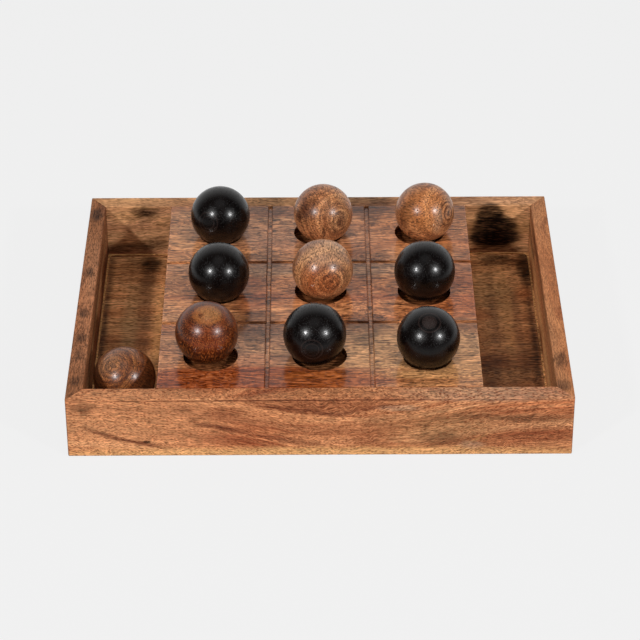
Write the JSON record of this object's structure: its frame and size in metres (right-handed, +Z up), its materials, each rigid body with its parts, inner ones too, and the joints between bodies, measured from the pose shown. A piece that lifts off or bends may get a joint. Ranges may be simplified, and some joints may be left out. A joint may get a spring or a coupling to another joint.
{
  "type": "tic-tac-toe board",
  "caption": "Mitred hardwood tray with a raised grid board of round recesses, a storage well at each end, and dark and light turned balls as playing pieces.",
  "frame": {"origin": "centre of the tray's underside, on the surface it stands on", "axes": "+X to the right along the tray's length, +Y to the back, +Z up"},
  "size_m": [0.3, 0.234, 0.0747],
  "materials": {
    "rail_wood": "oiled, satin",
    "board_wood": "oiled, satin",
    "base_wood": "oiled, satin",
    "divider_wood": "oiled, satin",
    "dark_ball_wood": "ebonised and waxed, satin",
    "light_ball_wood": "oiled, satin",
    "brad_steel": "bright drawn wire"
  },
  "bodies": {
    "tray": {"front_rail": "rail_wood", "back_rail": "rail_wood", "left_rail": "rail_wood", "right_rail": "rail_wood", "base_panel": "base_wood", "left_divider": "divider_wood", "right_divider": "divider_wood", "play_board": "board_wood", "mitre_brads": "brad_steel", "base_brads": "brad_steel"},
    "dark_ball_1": {"dark_ball_1": "dark_ball_wood"},
    "dark_ball_2": {"dark_ball_2": "dark_ball_wood"},
    "dark_ball_3": {"dark_ball_3": "dark_ball_wood"},
    "dark_ball_4": {"dark_ball_4": "dark_ball_wood"},
    "dark_ball_5": {"dark_ball_5": "dark_ball_wood"},
    "light_ball_1": {"light_ball_1": "light_ball_wood"},
    "light_ball_2": {"light_ball_2": "light_ball_wood"},
    "light_ball_3": {"light_ball_3": "light_ball_wood"},
    "light_ball_4": {"light_ball_4": "light_ball_wood"},
    "light_ball_5": {"light_ball_5": "light_ball_wood"}
  },
  "joints": [
    {"name": "dark_ball_1_lift", "type": "slide", "parent": "tray", "child": "dark_ball_1", "axis": [0, 0, 1], "range_m": [0, 0.05]},
    {"name": "dark_ball_2_lift", "type": "slide", "parent": "tray", "child": "dark_ball_2", "axis": [0, 0, 1], "range_m": [0, 0.05]},
    {"name": "dark_ball_3_lift", "type": "slide", "parent": "tray", "child": "dark_ball_3", "axis": [0, 0, 1], "range_m": [0, 0.05]},
    {"name": "dark_ball_4_lift", "type": "slide", "parent": "tray", "child": "dark_ball_4", "axis": [0, 0, 1], "range_m": [0, 0.05]},
    {"name": "dark_ball_5_lift", "type": "slide", "parent": "tray", "child": "dark_ball_5", "axis": [0, 0, 1], "range_m": [0, 0.05]},
    {"name": "light_ball_1_lift", "type": "slide", "parent": "tray", "child": "light_ball_1", "axis": [0, 0, 1], "range_m": [0, 0.05]},
    {"name": "light_ball_2_lift", "type": "slide", "parent": "tray", "child": "light_ball_2", "axis": [0, 0, 1], "range_m": [0, 0.05]},
    {"name": "light_ball_3_lift", "type": "slide", "parent": "tray", "child": "light_ball_3", "axis": [0, 0, 1], "range_m": [0, 0.05]},
    {"name": "light_ball_4_lift", "type": "slide", "parent": "tray", "child": "light_ball_4", "axis": [0, 0, 1], "range_m": [0, 0.05]},
    {"name": "light_ball_5_lift", "type": "slide", "parent": "tray", "child": "light_ball_5", "axis": [0, 0, 1], "range_m": [0, 0.085]}
  ]
}
